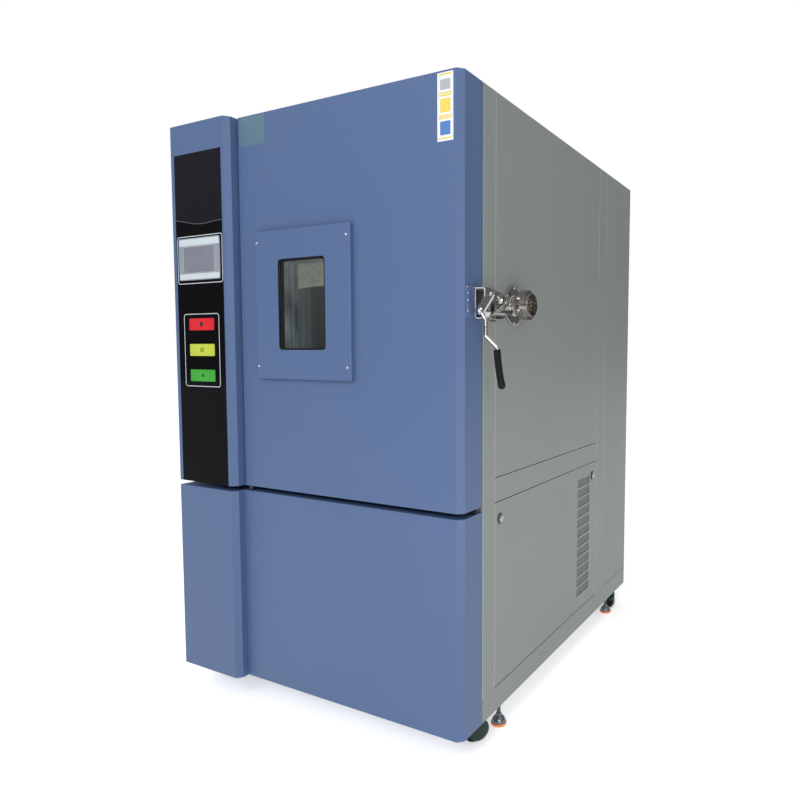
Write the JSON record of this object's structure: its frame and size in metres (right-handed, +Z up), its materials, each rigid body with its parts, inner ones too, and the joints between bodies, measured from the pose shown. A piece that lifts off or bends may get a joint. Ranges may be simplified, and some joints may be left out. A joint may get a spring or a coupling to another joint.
{
  "type": "environmental test chamber",
  "caption": "Floor-standing environmental test chamber with a hinged windowed door, side latch, control column, vacuum port, castors and levelling feet.",
  "frame": {"origin": "on the floor, under the middle of the whole object", "axes": "+Z up, the door faces -Y, +X is the latch and port side"},
  "size_m": [1.1702, 1.4575, 1.84],
  "materials": {
    "cabinet_paint": "satin light grey-green powder coat",
    "front_paint": "satin blue-grey powder coat",
    "galvanised": "galvanised sheet",
    "stainless": "brushed stainless sheet",
    "polished_steel": "polished cast stainless",
    "foam": "rigid insulating foam",
    "black_glass": "back-painted black glass",
    "clear_glass": "clear float glass",
    "bezel": "light grey moulding",
    "screen": "grey display, off",
    "red_lens": "red lens",
    "yellow_lens": "yellow lens",
    "green_lens": "green lens",
    "seal": "black silicone rubber",
    "black_plastic": "black moulding",
    "tread": "black tread",
    "coil": "finned coil",
    "black_paint": "black enamel",
    "pump_paint": "painted casting",
    "foot_steel": "plated steel on an orange elastic pad"
  },
  "bodies": {
    "cabinet": {"base_frame": "galvanised", "cabinet_frame": "cabinet_paint", "upper_side_panels": "cabinet_paint", "left_service_panel": "cabinet_paint", "rear_side_panels": "cabinet_paint", "top_panel": "cabinet_paint", "rear_panel": "cabinet_paint", "front_fascia": "front_paint", "control_column": "front_paint", "display_glass": "black_glass", "screen_bezel": "bezel", "touch_screen": "screen", "red_lamp": "red_lens", "yellow_lamp": "yellow_lens", "green_lamp": "green_lens", "chamber_front": "black_paint", "chamber_liner": "stainless", "chamber_insulation": "foam", "shelf": "stainless", "air_baffle": "stainless", "fan_motor": "black_paint", "evaporator": "coil", "heater": "stainless", "compressors": "black_paint", "condenser": "coil", "vacuum_pump": "pump_paint", "control_box": "galvanised", "port_tube": "polished_steel", "port_clamp": "polished_steel", "feedthrough": "polished_steel", "latch_keeper": "polished_steel", "hinge_plates": "galvanised"},
    "door": {"door_shell": "front_paint", "door_inner_panel": "stainless", "door_insulation": "foam", "door_gasket": "seal", "window_frame": "front_paint", "window_screws": "polished_steel", "window_panes": "clear_glass", "latch_housing": "polished_steel"},
    "latch": {"latch_lever": "polished_steel", "latch_grip": "seal"},
    "circulation_fan": {"fan_impeller": "stainless"},
    "condenser_fan": {"condenser_fan": "black_plastic"},
    "service_panel": {"service_panel": "cabinet_paint", "vent_screens": "cabinet_paint"},
    "front_lock": {"front_lock": "polished_steel"},
    "rear_lock": {"rear_lock": "polished_steel"},
    "front_right_castor": {"front_right_fork": "black_plastic"},
    "front_right_wheel": {"front_right_wheel": "tread"},
    "front_right_foot": {"front_right_foot": "foot_steel"},
    "front_left_castor": {"front_left_fork": "black_plastic"},
    "front_left_wheel": {"front_left_wheel": "tread"},
    "front_left_foot": {"front_left_foot": "foot_steel"},
    "rear_right_castor": {"rear_right_fork": "black_plastic"},
    "rear_right_wheel": {"rear_right_wheel": "tread"},
    "rear_right_foot": {"rear_right_foot": "foot_steel"},
    "rear_left_castor": {"rear_left_fork": "black_plastic"},
    "rear_left_wheel": {"rear_left_wheel": "tread"},
    "rear_left_foot": {"rear_left_foot": "foot_steel"}
  },
  "joints": [
    {"name": "door_swing", "type": "hinge", "parent": "cabinet", "child": "door", "pos_m": [-0.3062, -0.6775, 0.704], "axis": [0, 0, -1], "range_deg": [0, 100]},
    {"name": "latch_turn", "type": "hinge", "parent": "door", "child": "latch", "pos_m": [0.5085, -0.6155, 1.2365], "axis": [0, 1, 0], "range_deg": [-45, 12]},
    {"name": "circulation_fan_spin", "type": "hinge", "parent": "cabinet", "child": "circulation_fan", "pos_m": [0.08315, 0.1, 1.465], "axis": [0, 1, 0], "continuous": true},
    {"name": "condenser_fan_spin", "type": "hinge", "parent": "cabinet", "child": "condenser_fan", "pos_m": [0.33, 0.0905, 0.312], "axis": [1, 0, 0], "continuous": true},
    {"name": "service_panel_lift_off", "type": "slide", "parent": "cabinet", "child": "service_panel", "axis": [1, 0, 0], "range_m": [0, 0.08]},
    {"name": "front_lock_turn", "type": "hinge", "parent": "service_panel", "child": "front_lock", "pos_m": [0.4845, -0.4748, 0.6475], "axis": [1, 0, 0], "range_deg": [-90, 0]},
    {"name": "rear_lock_turn", "type": "hinge", "parent": "service_panel", "child": "rear_lock", "pos_m": [0.4845, 0.2922, 0.6475], "axis": [1, 0, 0], "range_deg": [0, 90]},
    {"name": "front_right_swivel", "type": "hinge", "parent": "cabinet", "child": "front_right_castor", "pos_m": [0.4505, -0.5245, 0.089], "axis": [0, 0, 1], "continuous": true},
    {"name": "front_right_roll", "type": "hinge", "parent": "front_right_castor", "child": "front_right_wheel", "pos_m": [0.43559, -0.5458, 0.033], "axis": [0.8192, -0.5736, 0], "continuous": true},
    {"name": "front_right_foot_turn", "type": "hinge", "parent": "cabinet", "child": "front_right_foot", "pos_m": [0.4595, -0.4335, 0], "axis": [0, 0, 1], "continuous": true},
    {"name": "front_left_swivel", "type": "hinge", "parent": "cabinet", "child": "front_left_castor", "pos_m": [-0.5495, -0.5245, 0.089], "axis": [0, 0, 1], "continuous": true},
    {"name": "front_left_roll", "type": "hinge", "parent": "front_left_castor", "child": "front_left_wheel", "pos_m": [-0.55839, -0.54893, 0.033], "axis": [0.9397, -0.342, 0], "continuous": true},
    {"name": "front_left_foot_turn", "type": "hinge", "parent": "cabinet", "child": "front_left_foot", "pos_m": [-0.5585, -0.4335, 0], "axis": [0, 0, 1], "continuous": true},
    {"name": "rear_right_swivel", "type": "hinge", "parent": "cabinet", "child": "rear_right_castor", "pos_m": [0.4505, 0.6405, 0.089], "axis": [0, 0, 1], "continuous": true},
    {"name": "rear_right_roll", "type": "hinge", "parent": "rear_right_castor", "child": "rear_right_wheel", "pos_m": [0.45723, 0.61539, 0.033], "axis": [0.9659, 0.2588, 0], "continuous": true},
    {"name": "rear_right_foot_turn", "type": "hinge", "parent": "cabinet", "child": "rear_right_foot", "pos_m": [0.4595, 0.5505, 0], "axis": [0, 0, 1], "continuous": true},
    {"name": "rear_left_swivel", "type": "hinge", "parent": "cabinet", "child": "rear_left_castor", "pos_m": [-0.5495, 0.6405, 0.089], "axis": [0, 0, 1], "continuous": true},
    {"name": "rear_left_roll", "type": "hinge", "parent": "rear_left_castor", "child": "rear_left_wheel", "pos_m": [-0.55312, 0.61475, 0.033], "axis": [0.9903, -0.1392, 0], "continuous": true},
    {"name": "rear_left_foot_turn", "type": "hinge", "parent": "cabinet", "child": "rear_left_foot", "pos_m": [-0.5585, 0.5505, 0], "axis": [0, 0, 1], "continuous": true}
  ]
}
